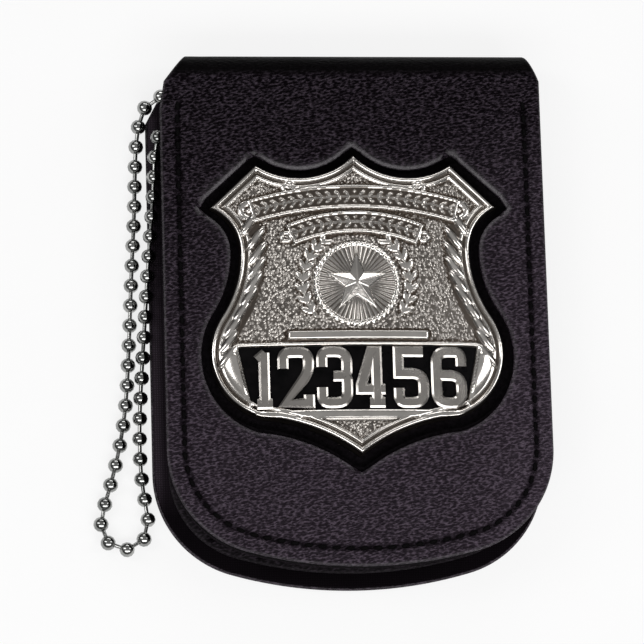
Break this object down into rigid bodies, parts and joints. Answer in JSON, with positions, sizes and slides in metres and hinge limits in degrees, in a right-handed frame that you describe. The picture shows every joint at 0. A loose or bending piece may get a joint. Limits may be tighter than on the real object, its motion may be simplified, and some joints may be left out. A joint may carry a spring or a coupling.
{
  "type": "badge wallet",
  "caption": "Folding leather neck wallet with a struck metal shield badge in a shaped recess, a card pocket inside, and a ball chain to hang it from.",
  "frame": {"origin": "centre of the closed case seen from the front, on the outer face of its rear half", "axes": "+X to the right and +Y up to the fold, seen from the front; +Z out of the front, through the badge"},
  "size_m": [0.0948, 0.1128, 0.016],
  "materials": {
    "leather_black": "pebble grain",
    "fibre_board": "matt",
    "felt_pad": "pressed felt",
    "lining_black": "fine weave",
    "window_clear": "clear",
    "hook_tape": "stiff hooks",
    "loop_tape": "brushed loops",
    "chain_steel": "polished",
    "badge_nickel": "struck and polished, dark in the hollows",
    "number_enamel": "gloss",
    "pin_steel": "plated"
  },
  "bodies": {
    "rear_half": {"rear_leather": "leather_black", "rear_board": "fibre_board", "rear_lining": "lining_black", "pocket_welt": "leather_black", "id_window": "window_clear", "id_window_frame": "leather_black", "hook_pad": "hook_tape", "chain_sleeve": "leather_black", "chain_strands": "chain_steel", "chain_hank": "chain_steel", "chain_coupling": "chain_steel", "fold_leather": "leather_black"},
    "front_half": {"front_leather": "leather_black", "recess_board": "fibre_board", "badge_backing": "fibre_board", "pin_pad": "felt_pad", "front_lining": "lining_black", "loop_pad": "loop_tape", "badge_shield": "badge_nickel", "number_plate": "number_enamel", "numerals": "badge_nickel", "emblem": "badge_nickel", "pin_joint": "pin_steel", "pin_catch": "pin_steel", "pin_stem": "pin_steel"}
  },
  "joints": [
    {"name": "fold_hinge", "type": "hinge", "parent": "rear_half", "child": "front_half", "pos_m": [0, 0.0564, 0.00698], "axis": [-1, 0, 0], "range_deg": [0, 180], "deforming": ["fold_leather"]}
  ]
}
